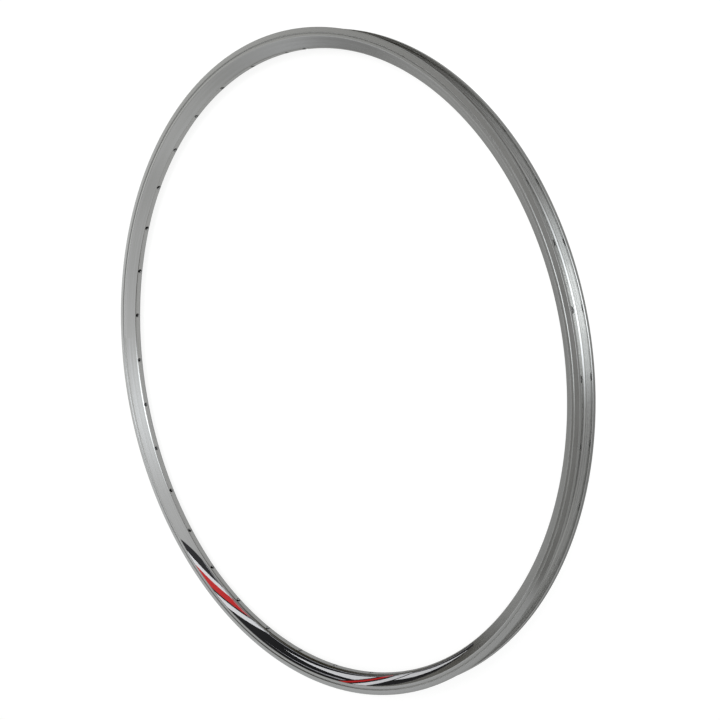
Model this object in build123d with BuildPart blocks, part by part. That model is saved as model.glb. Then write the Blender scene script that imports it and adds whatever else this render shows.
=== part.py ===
"""Double-wall bicycle rim, lying flat with its axle along +Z and its origin at the wheel's centre."""
import os
from math import cos, degrees, radians, sin

from build123d import *

# Rim section, in millimetres
bead_seat_diameter = 622.0
flange_height = 5.5
rim_width = 21.6
section_height = 18.0
hook_gap = 15.2
hook_height = 2.2
hook_undercut = 1.0
flange_wall = 1.8
shelf_width = 3.6
well_depth = 1.0
well_slope = 1.0
track_height = 4.3
track_relief = 0.5
shoulder_width = 2.25
groove_depth = 0.4
groove_floor = 0.3
groove_inner_slope = 0.4
groove_outer_slope = 0.6
bed_width = 5.2
bed_crown = 0.4
spoke_bed_wall = 1.9
side_wall = 1.3
tyre_bed_wall = 1.4

# Edge radii
bed_corner_radius = 2.0
shoulder_radius = 0.6
groove_radius = 0.15
lip_radius = 0.4
hook_radius = 0.9
channel_radius = 0.5
hollow_radius = 0.8

# Drilled holes
spoke_count = 36
spoke_hole_diameter = 4.6
nipple_hole_diameter = 6.4
valve_hole_diameter = 6.5
valve_angle = 90.0

# Joint sleeve, pressed into the hollow across the butt joint
sleeve_length = 40.0
sleeve_wall = 1.2
sleeve_clearance = 0.1

# Printed film on the upper side wall: a long leaf with a pointed tail and a blunt nose
decal_start_angle = 225.5
decal_sweep = 88.0
decal_tail_sweep = 9.5
decal_nose_sweep = 34.0
decal_nose_width = 2.0
decal_foot_margin = 2.0
decal_top_margin = 0.4
decal_thickness = 0.15
decal_adhesive = 0.1

# Radii from the axle and heights from the mid-plane that the sizes above give
bead_seat_radius = bead_seat_diameter / 2
crest_radius = bead_seat_radius + flange_height
bed_radius = crest_radius - section_height
well_radius = bead_seat_radius - well_depth
track_foot_radius = crest_radius - track_height
groove_outer_edge = track_foot_radius - groove_outer_slope
groove_inner_edge = groove_outer_edge - groove_floor
shoulder_edge = groove_inner_edge - groove_inner_slope
half_width = rim_width / 2
shoulder_face = half_width - track_relief
groove_face = shoulder_face - groove_depth
flange_face = half_width - flange_wall
shelf_edge = flange_face - shelf_width
bed_edge = Vector(bed_radius + bed_crown, bed_width / 2)
wall_top = Vector(shoulder_edge - shoulder_width, shoulder_face)
wall_along = (wall_top - bed_edge).normalized()
wall_out = Vector(-wall_along.Y, wall_along.X)
seam_angle = valve_angle + 180.0


def section_plane(angle):
    """The plane through the axle at an angle from +X: local X is the radius, local Y is the height."""
    turn = radians(angle)
    return Plane(origin=(0, 0, 0), x_dir=(cos(turn), sin(turn), 0), z_dir=(sin(turn), -cos(turn), 0))


def rim_point(radius, angle):
    """The point at a radius from the axle and an angle from +X."""
    return Vector(radius, 0).rotate(Axis.Z, angle)


# Upper half of the extrusion's section, from the spoke bed round to the tyre well: (radius, height, fillet)
section_corners = [
    (bed_edge.X, bed_edge.Y, bed_corner_radius),
    (wall_top.X, wall_top.Y, shoulder_radius),
    (shoulder_edge, shoulder_face, groove_radius),
    (groove_inner_edge, groove_face, groove_radius),
    (groove_outer_edge, groove_face, groove_radius),
    (track_foot_radius, half_width, groove_radius),
    (crest_radius, half_width, lip_radius),
    (crest_radius, hook_gap / 2, hook_radius),
    (crest_radius - hook_height, hook_gap / 2, channel_radius),
    (crest_radius - hook_height - hook_undercut, flange_face, channel_radius),
    (bead_seat_radius, flange_face, channel_radius),
    (bead_seat_radius, shelf_edge, channel_radius),
    (well_radius, shelf_edge - well_slope, channel_radius),
]
with BuildSketch(section_plane(0)) as hoop_section:
    with BuildLine():
        ThreePointArc((bed_edge.X, -bed_edge.Y), (bed_radius, 0), bed_edge)
        Polyline(
            [(r, z) for r, z, _ in section_corners]
            + [(r, -z) for r, z, _ in reversed(section_corners)]
        )
    make_face()
    for r, z, radius in section_corners:
        for side in (z, -z):
            fillet(hoop_section.vertices().sort_by_distance((r, side))[0], radius)

# The hollow between the spoke bed, the two side walls and the tyre bed
inner_wall = bed_edge - wall_out * side_wall
wall_rise = wall_along.Y / wall_along.X
floor_radius = bed_radius + spoke_bed_wall
roof_radius = well_radius - tyre_bed_wall
floor_half_width = inner_wall.Y + (floor_radius - inner_wall.X) * wall_rise
roof_half_width = inner_wall.Y + (roof_radius - inner_wall.X) * wall_rise
with BuildSketch(section_plane(0)) as hollow_section:
    with BuildLine():
        Polyline(
            (floor_radius, -floor_half_width),
            (roof_radius, -roof_half_width),
            (roof_radius, roof_half_width),
            (floor_radius, floor_half_width),
            close=True,
        )
    make_face()
    fillet(hollow_section.vertices(), hollow_radius)
hollow_middle = (floor_radius + roof_radius) / 2
drill_reach = well_radius - bed_radius

# Hoop: the section turned about the axle, then drilled along its radii
with BuildPart() as rim_hoop:
    revolve(hoop_section.sketch, axis=Axis.Z)
    revolve(hollow_section.sketch, axis=Axis.Z, mode=Mode.SUBTRACT)
    first_spoke = valve_angle + 180.0 / spoke_count
    with PolarLocations(bed_radius, spoke_count, start_angle=first_spoke):
        Cylinder(spoke_hole_diameter / 2, drill_reach, rotation=(0, 90, 0), mode=Mode.SUBTRACT)
    with PolarLocations(well_radius, spoke_count, start_angle=first_spoke):
        Cylinder(nipple_hole_diameter / 2, drill_reach, rotation=(0, 90, 0), mode=Mode.SUBTRACT)
    with PolarLocations(hollow_middle, 1, start_angle=valve_angle):
        Cylinder(valve_hole_diameter / 2, 2 * drill_reach, rotation=(0, 90, 0), mode=Mode.SUBTRACT)
rim_hoop.part.label = "rim_hoop"

# Joint sleeve: the hollow's own shape less a clearance, across the butt joint opposite the valve hole
sleeve_half_angle = degrees(sleeve_length / 2 / hollow_middle)
with BuildPart() as joint_sleeve:
    with BuildSketch(section_plane(seam_angle - sleeve_half_angle)):
        add(hollow_section.sketch_local)
        offset(amount=-sleeve_clearance, mode=Mode.REPLACE)
        offset(amount=-sleeve_wall, mode=Mode.SUBTRACT)
    revolve(axis=Axis.Z, revolution_arc=2 * sleeve_half_angle)
joint_sleeve.part.label = "joint_sleeve"

# Side decal: a film of even thickness on the cone of the upper side wall, cut to the leaf's outline
film_lift = wall_out * decal_adhesive
film_proud = wall_out * decal_thickness
film_foot = bed_edge + film_lift
film_top = wall_top + film_lift
leaf_inner_radius = (film_foot + wall_along * decal_foot_margin).X
leaf_outer_radius = (film_top - wall_along * decal_top_margin).X
nose_radius = leaf_inner_radius + decal_nose_width * wall_along.X
decal_end_angle = decal_start_angle + decal_sweep
outer_sweep = decal_sweep - decal_nose_sweep
inner_sweep = decal_sweep - decal_tail_sweep
with BuildPart() as side_decal:
    with BuildSketch(section_plane(decal_start_angle)):
        with BuildLine():
            Polyline(film_foot, film_top, film_top + film_proud, film_foot + film_proud, close=True)
        make_face()
    revolve(axis=Axis.Z, revolution_arc=decal_sweep)
    with BuildSketch():
        with BuildLine():
            outer_edge = CenterArc((0, 0), leaf_outer_radius, decal_start_angle, outer_sweep)
            nose_tip = rim_point(nose_radius, decal_end_angle)
            TangentArc(outer_edge @ 1, nose_tip, tangent=outer_edge % 1)
            inner_edge = CenterArc((0, 0), leaf_inner_radius, decal_end_angle, -inner_sweep)
            Line(nose_tip, inner_edge @ 0)
            TangentArc(inner_edge @ 1, outer_edge @ 0, tangent=inner_edge % 1)
        make_face()
    extrude(amount=half_width, mode=Mode.INTERSECT)
side_decal.part.label = "side_decal"

os.makedirs("parts", exist_ok=True)
export_step(rim_hoop.part, "parts/rim_hoop.step")
export_step(joint_sleeve.part, "parts/joint_sleeve.step")
export_step(side_decal.part, "parts/side_decal.step")
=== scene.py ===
"""Polished aluminium bicycle rim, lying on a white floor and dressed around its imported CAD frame."""
from math import cos, pi, radians, sin, tan

import bmesh
import bpy
from mathutils import Matrix, Vector


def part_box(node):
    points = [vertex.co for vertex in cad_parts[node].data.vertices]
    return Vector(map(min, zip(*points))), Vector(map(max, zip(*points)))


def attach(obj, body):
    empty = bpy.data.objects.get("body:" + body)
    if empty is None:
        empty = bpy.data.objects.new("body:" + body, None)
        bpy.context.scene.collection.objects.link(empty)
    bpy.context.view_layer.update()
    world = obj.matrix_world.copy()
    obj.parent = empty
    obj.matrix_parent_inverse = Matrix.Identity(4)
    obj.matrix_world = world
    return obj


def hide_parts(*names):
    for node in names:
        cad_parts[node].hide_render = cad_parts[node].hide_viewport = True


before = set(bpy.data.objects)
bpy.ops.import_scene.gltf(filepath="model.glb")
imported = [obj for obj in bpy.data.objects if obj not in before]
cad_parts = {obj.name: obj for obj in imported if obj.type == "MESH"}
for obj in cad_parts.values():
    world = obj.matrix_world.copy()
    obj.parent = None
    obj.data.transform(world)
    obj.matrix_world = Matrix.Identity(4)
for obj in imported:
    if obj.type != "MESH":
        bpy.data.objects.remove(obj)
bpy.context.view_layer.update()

# Sizes below are in millimetres, and meshes are in metres
MM = 0.001
hoop_low, hoop_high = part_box("rim_hoop")
crest_radius = hoop_high.x / MM
half_width = hoop_high.z / MM

# Rim section
flange_height = 5.5
section_height = 18.0
hook_gap = 15.2
hook_height = 2.2
hook_undercut = 1.0
flange_wall = 1.8
shelf_width = 3.6
well_depth = 1.0
well_slope = 1.0
track_height = 4.3
track_relief = 0.5
shoulder_width = 2.25
groove_depth = 0.4
groove_floor = 0.3
groove_inner_slope = 0.4
groove_outer_slope = 0.6
bed_width = 5.2
bed_crown = 0.4
spoke_bed_wall = 1.9
side_wall = 1.3
tyre_bed_wall = 1.4

# Edge radii of the section
bed_corner_radius = 2.0
crown_radius = 9.0
shoulder_radius = 0.6
groove_radius = 0.15
lip_radius = 0.2
hook_radius = 0.9
channel_radius = 0.5
hollow_radius = 0.8

# Drilled holes, and the gap in the hollow between the tips of the two drills on a radius
spoke_count = 36
spoke_hole_diameter = 4.6
nipple_hole_diameter = 6.4
valve_hole_diameter = 6.5
valve_angle = 90.0
drill_gap = 2.0

# Printed film: a long leaf with a pointed tail and a blunt nose
decal_start_angle = 225.5
decal_sweep = 88.0
decal_tail_sweep = 9.5
decal_nose_sweep = 34.0
decal_nose_width = 2.0
decal_foot_margin = 2.0
decal_top_margin = 0.4
decal_thickness = 0.15
decal_adhesive = 0.1

# Fineness of the meshes
ring_steps = 360
corner_steps = 5
drill_sides = 40
film_steps = 176
film_rows = 8
ring_weld = 0.001
film_weld = 0.01

# Metal's tones and roughness, each from low to high, and the part of a noise pattern's range in use
noise_range = (0.3, 0.7)
polished_tones = ((0.66, 0.66, 0.645, 1.0), (0.74, 0.74, 0.735, 1.0))
polished_roughness = (0.12, 0.18)
sleeve_tones = ((0.56, 0.56, 0.56, 1.0), (0.67, 0.67, 0.66, 1.0))
sleeve_roughness = (0.4, 0.55)

# Duller metal: the machined edge of the groove, and the raw hollow and holes below the polished faces
edge_roughness = 0.43
raw_roughness = 0.6
raw_metallic = 0.45
raw_depth = 0.6

# Film's print: bars by the turn in degrees where they start, slanted by degrees for each millimetre across
film_black = (0.012, 0.012, 0.014, 1.0)
film_white = (0.8, 0.8, 0.82, 1.0)
film_grey = (0.34, 0.34, 0.36, 1.0)
film_red = (0.58, 0.022, 0.022, 1.0)
film_roughness = (0.2, 0.28)
bar_slant = 1.2
film_bars = [
    (14.5, film_white),
    (18.0, film_red),
    (24.5, film_black),
    (25.8, film_white),
    (30.5, film_black),
    (64.0, film_red),
    (66.0, film_black),
    (67.5, film_white),
    (71.0, film_black),
]
bar_ramp_end = 100.0

# Tapering flashes over the bars: turns of the tip and the base, heights across the film, colour
film_flashes = [
    (36.0, 63.0, 0.9, 6.4, film_white),
    (30.0, 63.0, 7.2, 8.6, film_grey),
    (87.0, 72.0, 1.0, 4.6, film_white),
]
foot_line = (0.25, 0.65)

# Photograph's viewpoint, about a point in the rim's plane
aim_point = (66.5, 15.1, 0.0)
camera_azimuth = 13.375
camera_elevation = 43.631
camera_distance = 1049.1
camera_roll = -100.0
camera_lens = 56.786
camera_sensor = 36.0

# Studio round the rim: soft patches of light as (azimuth, elevation, inner angle, outer angle, colour)
room_colour = (0.026, 0.022, 0.012, 1.0)
overhead = (25.5, 64.5, 7, 70.5, (0.559, 0.569, 0.585, 1.0))
overhead_middle = (21, 43, 4, 30, (0.978, 1.042, 1.089, 1.0))
low_light = (14, 11, 3, 22, (1.8, 1.85, 1.9, 1.0))
window = (181.5, 31.5, 2, 24.5, (0.461, 0.468, 0.468, 1.0))
window_side = (204.5, 23, 2.5, 33, (0.271, 0.279, 0.291, 1.0))
side_fill = (279.5, 16, 8, 51, (0.359, 0.365, 0.369, 1.0))
panel = (232, 38, 18, 34, (0.213, 0.218, 0.224, 1.0))
panel_edge = (257.1, -32.2, 89.4, 90.6)

# Lamps, with angles in degrees and power in watts: the metal does not mirror the fill
key_lamp = dict(azimuth=21, elevation=51, distance=1600, size=400, power=0.34)
fill_lamp = dict(azimuth=75, elevation=60, distance=2500, size=1500, power=22, mirrored=False)

# Floor: its paint, its glow to the camera, and a painted pool of light that only the metal mirrors, brighter
# to the left, as (X, glow) at two places
floor_reach = 8000.0
floor_colour = (0.23, 0.23, 0.225, 1.0)
floor_glow = 0.86
painted_pool_left = (-300.0, 0.28)
painted_pool_right = (360.0, 0.08)

# Radii and heights that the section's sizes give
bead_seat_radius = crest_radius - flange_height
bed_radius = crest_radius - section_height
well_radius = bead_seat_radius - well_depth
track_foot_radius = crest_radius - track_height
groove_outer_edge = track_foot_radius - groove_outer_slope
groove_inner_edge = groove_outer_edge - groove_floor
shoulder_edge = groove_inner_edge - groove_inner_slope
shoulder_face = half_width - track_relief
groove_face = shoulder_face - groove_depth
flange_face = half_width - flange_wall
shelf_edge = flange_face - shelf_width
bed_edge = Vector((bed_radius + bed_crown, bed_width / 2))
wall_top = Vector((shoulder_edge - shoulder_width, shoulder_face))
wall_along = (wall_top - bed_edge).normalized()
wall_out = Vector((-wall_along.y, wall_along.x))
film_foot = bed_edge + wall_along * decal_foot_margin + wall_out * decal_adhesive
film_top = wall_top - wall_along * decal_top_margin + wall_out * decal_adhesive
film_width = (film_top - film_foot).length
inner_wall = bed_edge - wall_out * side_wall
wall_rise = wall_along.y / wall_along.x
floor_radius = bed_radius + spoke_bed_wall
roof_radius = well_radius - tyre_bed_wall
floor_half = inner_wall.y + (floor_radius - inner_wall.x) * wall_rise
roof_half = inner_wall.y + (roof_radius - inner_wall.x) * wall_rise


def rounded_loop(bm, corners):
    """Adds a closed wire loop in the XZ plane: (radius, height, fillet) at each corner."""
    points = [Vector((r, z)) for r, z, _ in corners]
    verts = [bm.verts.new((p.x * MM, 0, p.y * MM)) for p in points]
    for i, vert in enumerate(verts):
        bm.edges.new((verts[i - 1], vert))
    for i, vert in enumerate(verts):
        before = points[i] - points[i - 1]
        after = points[(i + 1) % len(points)] - points[i]
        reach = corners[i][2] * tan(before.angle(after) / 2)
        bmesh.ops.bevel(
            bm,
            geom=[vert],
            offset=reach * MM,
            offset_type="OFFSET",
            affect="VERTICES",
            segments=corner_steps,
            profile=0.5,
            material=-1,
        )


def turned_ring(corners, inward=False):
    """A closed ring: the loop spun about the axle, with its faces turned into the ring if it is a hollow."""
    bm = bmesh.new()
    rounded_loop(bm, corners)
    bmesh.ops.spin(
        bm,
        geom=bm.verts[:] + bm.edges[:],
        cent=(0, 0, 0),
        axis=(0, 0, 1),
        angle=2 * pi,
        steps=ring_steps,
        use_merge=True,
    )
    bmesh.ops.remove_doubles(bm, verts=bm.verts, dist=ring_weld * MM)
    bmesh.ops.recalc_face_normals(bm, faces=bm.faces)
    if inward:
        bmesh.ops.reverse_faces(bm, faces=bm.faces)
    mesh = bpy.data.meshes.new("ring")
    bm.to_mesh(mesh)
    bm.free()
    return mesh


def add_drill(bm, angle, diameter, start, end):
    """Adds a drill's cylinder along a radius of the rim, from one radius to another."""
    turn = Matrix.Rotation(radians(angle), 4, "Z")
    place = Matrix.Translation(((start + end) / 2 * MM, 0, 0))
    lie = Matrix.Rotation(pi / 2, 4, "Y")
    bmesh.ops.create_cone(
        bm,
        cap_ends=True,
        segments=drill_sides,
        radius1=diameter / 2 * MM,
        radius2=diameter / 2 * MM,
        depth=(end - start) * MM,
        matrix=turn @ place @ lie,
    )


def new_object(name, mesh):
    """A mesh object at the origin, linked to the scene."""
    piece = bpy.data.objects.new(name, mesh)
    bpy.context.scene.collection.objects.link(piece)
    return piece


def finish_mesh(piece, material, sharp_angle):
    """Smooth shading up to the sharp edges, and the piece's material."""
    mesh = piece.data
    mesh.shade_smooth()
    mesh.set_sharp_from_angle(angle=radians(sharp_angle))
    mesh.materials.clear()
    mesh.materials.append(material)


def hoop_walls():
    """The extrusion as one mesh: the outer ring with the ring of its hollow inside."""
    upper_half = [
        (bed_edge.x, bed_edge.y, bed_corner_radius),
        (wall_top.x, wall_top.y, shoulder_radius),
        (shoulder_edge, shoulder_face, groove_radius),
        (groove_inner_edge, groove_face, groove_radius),
        (groove_outer_edge, groove_face, groove_radius),
        (track_foot_radius, half_width, groove_radius),
        (crest_radius, half_width, lip_radius),
        (crest_radius, hook_gap / 2, hook_radius),
        (crest_radius - hook_height, hook_gap / 2, channel_radius),
        (crest_radius - hook_height - hook_undercut, flange_face, channel_radius),
        (bead_seat_radius, flange_face, channel_radius),
        (bead_seat_radius, shelf_edge, channel_radius),
        (well_radius, shelf_edge - well_slope, channel_radius),
    ]
    lower_half = [(r, -z, radius) for r, z, radius in reversed(upper_half)]
    shell = turned_ring([(bed_radius, 0, crown_radius)] + upper_half + lower_half)
    hollow = turned_ring(
        [
            (floor_radius, -floor_half, hollow_radius),
            (roof_radius, -roof_half, hollow_radius),
            (roof_radius, roof_half, hollow_radius),
            (floor_radius, floor_half, hollow_radius),
        ],
        inward=True,
    )
    walls = bmesh.new()
    walls.from_mesh(shell)
    walls.from_mesh(hollow)
    walls.to_mesh(shell)
    walls.free()
    bpy.data.meshes.remove(hollow)
    return shell


def hoop_drills():
    """The drills of all the holes as one mesh, along the hoop's radii."""
    bm = bmesh.new()
    hollow_middle = (floor_radius + roof_radius) / 2
    spoke_tip = hollow_middle - drill_gap / 2
    nipple_tip = hollow_middle + drill_gap / 2
    clear = section_height / 3
    for k in range(spoke_count):
        angle = valve_angle + (k + 0.5) * 360 / spoke_count
        add_drill(bm, angle, spoke_hole_diameter, bed_radius - clear, spoke_tip)
        add_drill(bm, angle, nipple_hole_diameter, nipple_tip, well_radius + clear)
    add_drill(bm, valve_angle, valve_hole_diameter, bed_radius - clear, well_radius + clear)
    mesh = bpy.data.meshes.new("drills")
    bm.to_mesh(mesh)
    bm.free()
    return mesh


def make_hoop(material):
    """The extrusion, drilled along its radii."""
    hoop = new_object("hoop", hoop_walls())
    drills = new_object("drills", hoop_drills())
    cut = hoop.modifiers.new("Drilling", "BOOLEAN")
    cut.operation = "DIFFERENCE"
    cut.solver = "EXACT"
    cut.object = drills
    walls = hoop.data
    drilled = bpy.data.meshes.new_from_object(hoop.evaluated_get(bpy.context.evaluated_depsgraph_get()))
    hoop.modifiers.clear()
    hoop.data = drilled
    bpy.data.meshes.remove(walls)
    bpy.data.objects.remove(drills)

    finish_mesh(hoop, material, sharp_angle=35)
    level = hoop.modifiers.new("Even faces", "WEIGHTED_NORMAL")
    level.keep_sharp = True
    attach(hoop, "root")
    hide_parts("rim_hoop")


def make_decal(material):
    """The film: a grid laid on the side wall's cone inside the leaf's outline, and given its thickness."""
    nose_start = decal_sweep - decal_nose_sweep

    def on_wall(turn, share):
        """The point at a turn along the film and a share of the leaf's width there."""
        tail = max(0, 1 - turn / decal_tail_sweep) ** 2 * film_width
        nose = max(0, (turn - nose_start) / decal_nose_sweep) ** 2 * (film_width - decal_nose_width)
        point = film_foot + wall_along * (tail + share * (film_width - nose - tail))
        angle = radians(decal_start_angle + turn)
        return Vector((point.x * cos(angle), point.x * sin(angle), point.y)) * MM

    bm = bmesh.new()
    bmesh.ops.create_grid(bm, x_segments=film_steps, y_segments=film_rows, size=0.5)
    for vert in bm.verts:
        vert.co = on_wall((vert.co.x + 0.5) * decal_sweep, vert.co.y + 0.5)
    bmesh.ops.remove_doubles(bm, verts=bm.verts, dist=film_weld * MM)
    bmesh.ops.recalc_face_normals(bm, faces=bm.faces)
    facing = bm.faces[:][0]
    facing.normal_update()
    if facing.normal.z < 0:
        bmesh.ops.reverse_faces(bm, faces=bm.faces)
    bmesh.ops.solidify(bm, geom=bm.faces[:], thickness=-decal_thickness * MM)
    bmesh.ops.recalc_face_normals(bm, faces=bm.faces)
    mesh = bpy.data.meshes.new("decal")
    bm.to_mesh(mesh)
    bm.free()
    decal = new_object("decal", mesh)
    finish_mesh(decal, material, sharp_angle=40)
    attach(decal, "root")
    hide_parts("side_decal")


class Wiring:
    """A node tree while it is wired: its calls add nodes and give back the last one or its output."""

    def __init__(self, tree):
        self.tree = tree

    def node(self, kind, **settings):
        made = self.tree.nodes.new(kind)
        for key, value in settings.items():
            setattr(made, key, value)
        return made

    def plug(self, value, socket):
        if isinstance(value, bpy.types.NodeSocket):
            self.tree.links.new(value, socket)
        else:
            socket.default_value = value

    def chain(self, kind, *values, **settings):
        """A node with its first inputs filled in order, and its first output."""
        made = self.node(kind, **settings)
        for value, socket in zip(values, made.inputs):
            self.plug(value, socket)
        return made.outputs[0]

    def math(self, operation, *values):
        return self.chain("ShaderNodeMath", *values, operation=operation)

    def above(self, value, limit):
        """1 where the value is above the limit, and 0 elsewhere."""
        return self.math("GREATER_THAN", value, limit)

    def every(self, met, *others):
        """1 where all the conditions are 1, and 0 elsewhere."""
        for other in others:
            met = self.math("MULTIPLY", met, other)
        return met

    def spread(self, value, low, high, to_low, to_high, curve="LINEAR"):
        return self.chain("ShaderNodeMapRange", value, low, high, to_low, to_high, interpolation_type=curve)

    def choose(self, met, otherwise, value):
        """A value where a condition is 1, and another one elsewhere."""
        return self.spread(met, 0.0, 1.0, otherwise, value)

    def mix(self, share, low, high, blend="MIX"):
        """Two colours mixed, on the node's colour inputs 6 and 7 and its colour output 2."""
        made = self.node("ShaderNodeMix", data_type="RGBA", blend_type=blend)
        self.plug(share, made.inputs["Factor"])
        self.plug(low, made.inputs[6])
        self.plug(high, made.inputs[7])
        return made.outputs[2]

    def rim_place(self):
        """Radius and height in millimetres and the angle round the rim in radians, at the shaded point."""
        split = self.node("ShaderNodeSeparateXYZ")
        self.plug(self.node("ShaderNodeTexCoord").outputs["Object"], split.inputs[0])
        x, y, z = split.outputs
        squares = self.math("ADD", self.math("MULTIPLY", x, x), self.math("MULTIPLY", y, y))
        radius = self.math("MULTIPLY", self.math("SQRT", squares), 1 / MM)
        height = self.math("MULTIPLY", z, 1 / MM)
        angle = self.math("ARCTAN2", y, x)
        return radius, height, angle

    def noise(self, place, stretch, scale, detail=2.0, roughness=0.5):
        """Noise over a place on the rim: the less its angle is stretched, the longer its streaks are."""
        radius, height, angle = place
        along = self.math("MULTIPLY", angle, stretch)
        made = self.node("ShaderNodeTexNoise")
        self.plug(self.chain("ShaderNodeCombineXYZ", radius, height, along), made.inputs["Vector"])
        self.plug(scale, made.inputs["Scale"])
        self.plug(detail, made.inputs["Detail"])
        self.plug(roughness, made.inputs["Roughness"])
        return made.outputs["Fac"]

    def bump(self, pattern, strength, depth):
        made = self.node("ShaderNodeBump")
        self.plug(strength, made.inputs["Strength"])
        self.plug(depth * MM, made.inputs["Distance"])
        self.plug(pattern, made.inputs["Height"])
        return made.outputs[0]


def new_finish(name):
    """A material with its wiring and its shader's inputs."""
    material = bpy.data.materials.new(name)
    material.use_nodes = True
    wiring = Wiring(material.node_tree)
    return material, wiring, material.node_tree.nodes["Principled BSDF"].inputs


def raw_inside(wiring, radius, height):
    """1 in the hollow and the drilled holes, and 0 on the polished faces."""
    past_bed = wiring.above(radius, bed_radius + raw_depth)
    before_well = wiring.above(well_radius - raw_depth, radius)
    out_from_floor = wiring.math("SUBTRACT", radius, floor_radius)
    wall_height = wiring.math("MULTIPLY_ADD", out_from_floor, wall_rise, floor_half + raw_depth)
    between_walls = wiring.above(wall_height, wiring.math("ABSOLUTE", height))
    return wiring.every(past_bed, before_well, between_walls)


def groove_edge(wiring, radius, height):
    """1 on the groove's outer slope, and 0 elsewhere."""
    past_groove = wiring.above(radius, groove_outer_edge - groove_radius)
    before_track = wiring.above(track_foot_radius, radius)
    outside = wiring.above(wiring.math("ABSOLUTE", height), groove_face - groove_radius)
    return wiring.every(past_groove, before_track, outside)


def polished_aluminium():
    """Aluminium polished in fine lines round the rim, duller at the groove's edge and raw inside."""
    material, wiring, shader = new_finish("polished_aluminium")
    place = wiring.rim_place()
    radius, height, _ = place
    lines = wiring.noise(place, stretch=1.0, scale=2.4, detail=3.0, roughness=0.6)
    bands = wiring.noise(place, stretch=3.0, scale=0.35)
    cloud = wiring.noise(place, stretch=60.0, scale=0.12, detail=3.0)
    tone = wiring.spread(bands, *noise_range, 0.0, 1.0)
    wiring.plug(wiring.mix(tone, *polished_tones), shader["Base Color"])
    low, high = noise_range
    polish = wiring.spread(wiring.math("ADD", lines, cloud), 2 * low, 2 * high, *polished_roughness)
    dull_edge = wiring.choose(groove_edge(wiring, radius, height), polish, edge_roughness)
    inside = raw_inside(wiring, radius, height)
    wiring.plug(wiring.choose(inside, dull_edge, raw_roughness), shader["Roughness"])
    wiring.plug(wiring.choose(inside, 1.0, raw_metallic), shader["Metallic"])
    shader["Anisotropic"].default_value = 1.0
    shader["Anisotropic Rotation"].default_value = 0.25
    round_rim = wiring.node("ShaderNodeTangent", direction_type="RADIAL", axis="Z")
    wiring.plug(round_rim.outputs[0], shader["Tangent"])
    wiring.plug(wiring.bump(lines, strength=0.12, depth=0.05), shader["Normal"])
    return material


def satin_aluminium():
    """The sleeve's plain sawn aluminium."""
    material, wiring, shader = new_finish("satin_aluminium")
    grain = wiring.noise(wiring.rim_place(), stretch=40.0, scale=1.2, detail=3.0)
    wiring.plug(wiring.mix(grain, *sleeve_tones), shader["Base Color"])
    wiring.plug(wiring.spread(grain, *noise_range, *sleeve_roughness), shader["Roughness"])
    shader["Metallic"].default_value = 1.0
    return material


def printed_film():
    """Glossy black film with plain slanted bars, tapering flashes and a line along its foot."""
    material, wiring, shader = new_finish("printed_film")
    place = wiring.rim_place()
    radius, _, angle = place
    turn = wiring.math("MULTIPLY_ADD", angle, 180 / pi, 360 - decal_start_angle)
    across = wiring.math("DIVIDE", wiring.math("SUBTRACT", radius, film_foot.x), wall_along.x)
    slanted = wiring.math("MULTIPLY_ADD", across, bar_slant, turn)

    bars = wiring.node("ShaderNodeValToRGB")
    bars.color_ramp.interpolation = "CONSTANT"
    stops = bars.color_ramp.elements
    stops[0].color = film_black
    stops.remove(stops[1])
    for start, colour in film_bars:
        stops.new(start / bar_ramp_end).color = colour
    wiring.plug(wiring.math("DIVIDE", slanted, bar_ramp_end), bars.inputs["Fac"])
    ink = bars.outputs["Color"]

    for tip, base, low, high, colour in film_flashes:
        middle = (low + high) / 2
        grown = wiring.spread(turn, tip, base, 0.0, 1.0)
        foot = wiring.math("MULTIPLY_ADD", grown, low - middle, middle)
        crest = wiring.math("MULTIPLY_ADD", grown, high - middle, middle)
        tip_side = wiring.above(base, slanted) if tip < base else wiring.above(slanted, base)
        flash = wiring.every(wiring.above(across, foot), wiring.above(crest, across), tip_side)
        ink = wiring.mix(flash, ink, colour)
    line_low, line_high = foot_line
    line = wiring.every(wiring.above(across, line_low), wiring.above(line_high, across))
    wiring.plug(wiring.mix(line, ink, film_grey), shader["Base Color"])

    grain = wiring.noise(place, stretch=300.0, scale=0.8)
    wiring.plug(wiring.spread(grain, *noise_range, *film_roughness), shader["Roughness"])
    wiring.plug(wiring.bump(grain, strength=0.1, depth=0.02), shader["Normal"])
    return material


def white_floor():
    """A floor under the rim, white to the camera, dimmer in the metal with a painted pool of light brighter
    to the left, and still shaded by the rim.
    """
    bm = bmesh.new()
    bmesh.ops.create_grid(bm, x_segments=1, y_segments=1, size=floor_reach * MM)
    bmesh.ops.translate(bm, verts=bm.verts, vec=(0, 0, hoop_low.z))
    mesh = bpy.data.meshes.new("floor")
    bm.to_mesh(mesh)
    bm.free()
    floor = new_object("floor", mesh)
    material, wiring, shader = new_finish("floor_paint")
    shader["Base Color"].default_value = floor_colour
    shader["Roughness"].default_value = 1.0
    shader["Specular IOR Level"].default_value = 0.0
    path = wiring.node("ShaderNodeLightPath").outputs
    seen = wiring.math("ADD", path["Is Camera Ray"], path["Is Transmission Ray"])
    split = wiring.node("ShaderNodeSeparateXYZ")
    wiring.plug(wiring.node("ShaderNodeTexCoord").outputs["Object"], split.inputs[0])
    # Painted pool of light: a glow seen only in the metal's reflections, brighter to the left and fading to
    # the right
    (left, left_glow), (right, right_glow) = painted_pool_left, painted_pool_right
    painted_pool = wiring.spread(split.outputs["X"], left * MM, right * MM, left_glow, right_glow)
    mirrored = wiring.math("MULTIPLY", path["Is Glossy Ray"], painted_pool)
    glow = wiring.math("MULTIPLY_ADD", seen, floor_glow, mirrored)
    shader["Emission Color"].default_value = (1, 1, 1, 1)
    wiring.plug(glow, shader["Emission Strength"])
    mesh.materials.append(material)


def direction(azimuth, elevation):
    """The unit vector at an azimuth from +X and an elevation above the floor, in degrees."""
    a = radians(azimuth)
    e = radians(elevation)
    return Vector((cos(a) * cos(e), sin(a) * cos(e), sin(e)))


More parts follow.
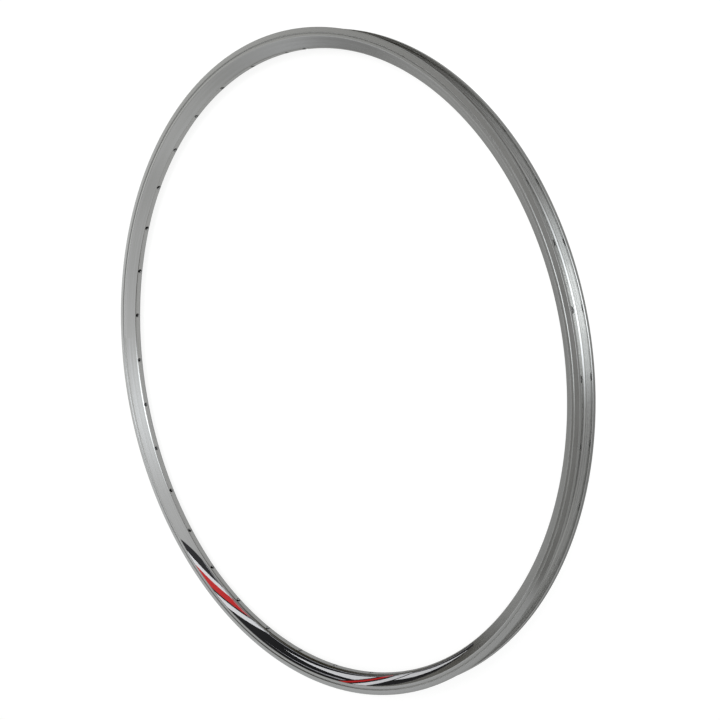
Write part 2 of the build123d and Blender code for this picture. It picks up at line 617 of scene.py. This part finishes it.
def studio_world():
    """A dim studio with soft patches of light, and white where the camera looks past the floor."""
    world = bpy.data.worlds.new("studio")
    bpy.context.scene.world = world
    world.use_nodes = True
    tree = world.node_tree
    wiring = Wiring(tree)
    looking = wiring.node("ShaderNodeTexCoord").outputs["Generated"]

    def patch(azimuth, elevation, inner, outer):
        """1 within the inner angle of a direction, falling to 0 at the outer angle."""
        towards = wiring.node("ShaderNodeVectorMath", operation="DOT_PRODUCT")
        wiring.plug(looking, towards.inputs[0])
        wiring.plug(direction(azimuth, elevation), towards.inputs[1])
        edge = cos(radians(outer))
        middle = cos(radians(inner))
        return wiring.spread(towards.outputs["Value"], edge, middle, 0.0, 1.0, "SMOOTHSTEP")

    room = room_colour
    for *place, colour in (overhead, overhead_middle, low_light, window, window_side, side_fill):
        room = wiring.mix(patch(*place), room, colour, "ADD")
    *panel_place, panel_colour = panel
    cut_panel = wiring.every(patch(*panel_place), patch(*panel_edge))
    room = wiring.mix(cut_panel, room, panel_colour, "ADD")
    studio = tree.nodes["Background"]
    wiring.plug(room, studio.inputs["Color"])
    white = wiring.node("ShaderNodeBackground")
    white.inputs["Color"].default_value = (1, 1, 1, 1)
    path = wiring.node("ShaderNodeLightPath").outputs
    view = wiring.chain("ShaderNodeMixShader", path["Is Camera Ray"], studio.outputs[0], white.outputs[0])
    wiring.plug(view, tree.nodes["World Output"].inputs["Surface"])


def softbox(name, azimuth, elevation, distance, size, power, mirrored=True):
    """A square area light that faces the wheel's centre, and that the metal mirrors or not."""
    lamp = bpy.data.lights.new(name, "AREA")
    lamp.shape = "SQUARE"
    lamp.size = size * MM
    lamp.energy = power
    light = bpy.data.objects.new(name, lamp)
    bpy.context.scene.collection.objects.link(light)
    light.location = direction(azimuth, elevation) * distance * MM
    light.rotation_euler = light.location.to_track_quat("Z", "Y").to_euler()
    light.visible_glossy = mirrored


def photo_camera():
    """The camera at the photograph's viewpoint."""
    lens = bpy.data.cameras.new("photo_camera")
    lens.sensor_width = camera_sensor
    lens.lens = camera_lens
    camera = bpy.data.objects.new("photo_camera", lens)
    bpy.context.scene.collection.objects.link(camera)
    out = direction(camera_azimuth, camera_elevation)
    level = out.to_track_quat("Z", "Y").to_matrix().to_4x4()
    place = Matrix.Translation(Vector(aim_point) * MM + out * camera_distance * MM)
    camera.matrix_world = place @ level @ Matrix.Rotation(radians(camera_roll), 4, "Z")
    bpy.context.scene.camera = camera


bpy.context.scene.view_settings.view_transform = "Standard"
make_hoop(polished_aluminium())
make_decal(printed_film())
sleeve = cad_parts["joint_sleeve"]
sleeve.data.materials.clear()
sleeve.data.materials.append(satin_aluminium())
white_floor()
studio_world()
softbox("key", **key_lamp)
softbox("fill", **fill_lamp)
photo_camera()
